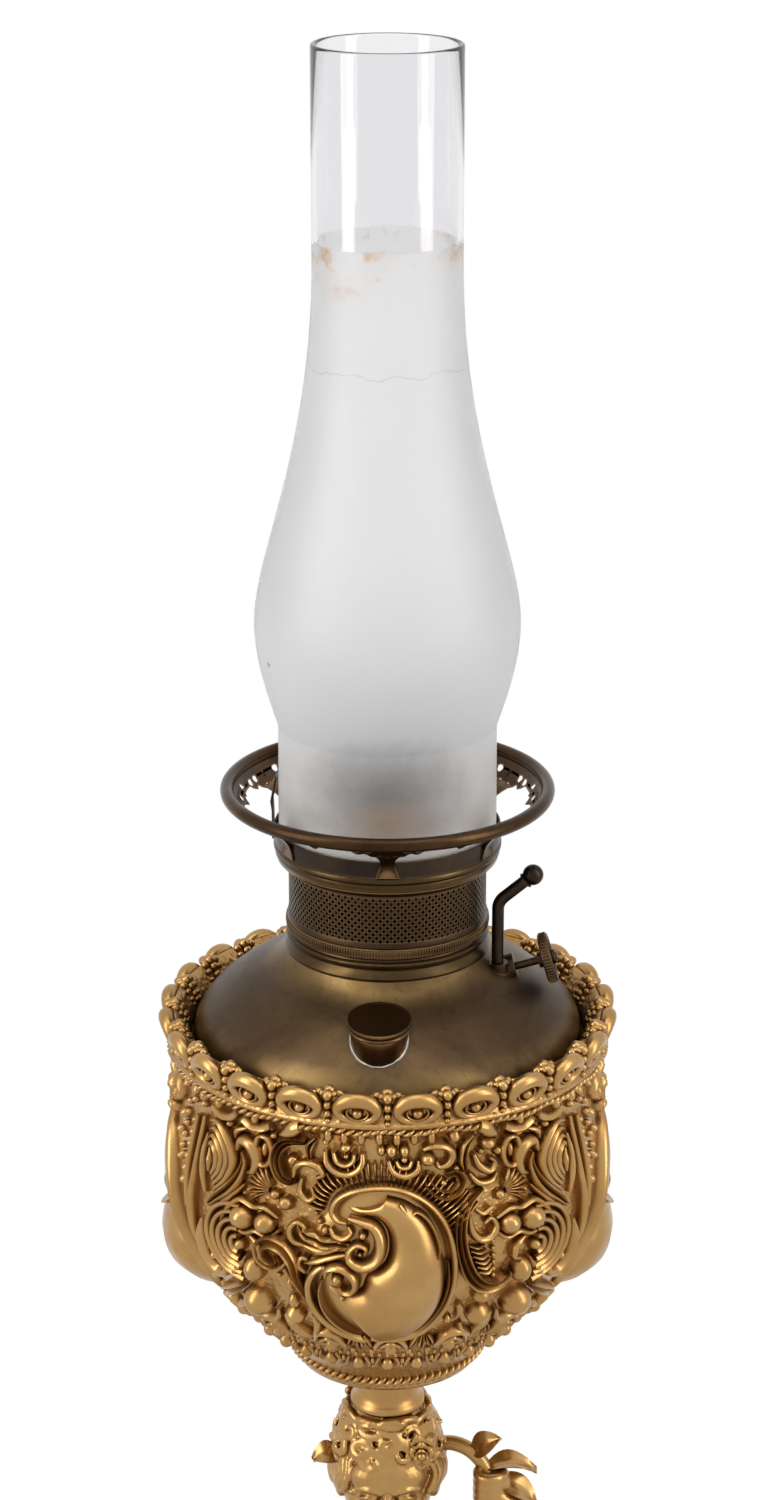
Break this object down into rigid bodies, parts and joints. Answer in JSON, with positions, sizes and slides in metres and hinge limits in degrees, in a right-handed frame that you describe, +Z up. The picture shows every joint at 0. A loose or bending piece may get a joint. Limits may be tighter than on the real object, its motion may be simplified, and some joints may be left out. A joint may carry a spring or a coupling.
{
  "type": "banquet lamp",
  "caption": "Tall oil lamp: a child figure on a footed base carries a relief bowl with a drop-in font, a centre-draught burner, a shade ring and a frosted glass chimney.",
  "frame": {"origin": "centre of the footprint, on the floor under the feet", "axes": "+Z up the lamp's axis to the top of the chimney, -Y to the front of the figure, +X to the side of the wick knob"},
  "size_m": [0.1418, 0.1442, 0.7271],
  "materials": {
    "gilt_metal": "gilded cast metal with dark hollows",
    "steel": "plain",
    "aged_brass": "aged, toned brown",
    "dark_brass": "darkened",
    "cork": "cork",
    "cotton": "woven",
    "frosted_glass": "frosted, clear at the top"
  },
  "bodies": {
    "stand": {"base_dome": "gilt_metal", "base_feet": "gilt_metal", "figure_ground": "gilt_metal", "figure_body": "gilt_metal", "figure_head": "gilt_metal", "figure_left_arm": "gilt_metal", "figure_right_arm": "gilt_metal", "flower_branch": "gilt_metal", "neck_collar": "gilt_metal", "bowl": "gilt_metal", "bowl_crown": "gilt_metal", "foot_screws": "steel", "base_bolt": "steel", "neck_stud": "steel", "bowl_washer": "steel", "bowl_nut": "steel"},
    "font": {"font_pan": "aged_brass", "font_shoulder": "aged_brass", "filler_neck": "aged_brass", "draft_tube": "aged_brass", "outer_wick_tube": "aged_brass", "burner_collar": "aged_brass", "rack_housing": "aged_brass"},
    "filler_cap": {"filler_cap": "aged_brass", "filler_gasket": "cork"},
    "wick": {"wick": "cotton", "wick_carrier": "aged_brass", "wick_rod": "dark_brass", "rod_ball": "dark_brass"},
    "wick_knob": {"knob_shaft": "aged_brass", "wick_knob": "dark_brass", "knob_nut": "dark_brass"},
    "gallery": {"gallery_band": "aged_brass", "gallery_flange": "aged_brass", "shade_ring": "dark_brass", "chimney_springs": "dark_brass"},
    "chimney": {"glass_chimney": "frosted_glass"},
    "spreader": {"spreader_thimble": "dark_brass", "spreader_cap": "dark_brass"}
  },
  "joints": [
    {"name": "font_lift", "type": "slide", "parent": "stand", "child": "font", "axis": [0, 0, 1], "range_m": [0, 0.1]},
    {"name": "gallery_lift", "type": "slide", "parent": "font", "child": "gallery", "axis": [0, 0, 1], "range_m": [0, 0.04]},
    {"name": "chimney_lift", "type": "slide", "parent": "gallery", "child": "chimney", "axis": [0, 0, 1], "range_m": [0, 0.1]},
    {"name": "spreader_lift", "type": "slide", "parent": "font", "child": "spreader", "axis": [0, 0, 1], "range_m": [0, 0.03]},
    {"name": "wick_lift", "type": "slide", "parent": "font", "child": "wick", "axis": [0, 0, 1], "range_m": [-0.01, 0.008]},
    {"name": "knob_turn", "type": "hinge", "parent": "font", "child": "wick_knob", "pos_m": [0.0338, -0.0056, 0.4443], "axis": [0.9613, 0, 0.2756], "range_deg": [-148, 185]},
    {"name": "filler_cap_lift", "type": "slide", "parent": "font", "child": "filler_cap", "axis": [0, -0.1564, 0.9877], "range_m": [0, 0.02]}
  ],
  "couplings": [
    {"joint": "knob_turn", "follows": "wick_lift", "rad_per_m": -320.42}
  ]
}
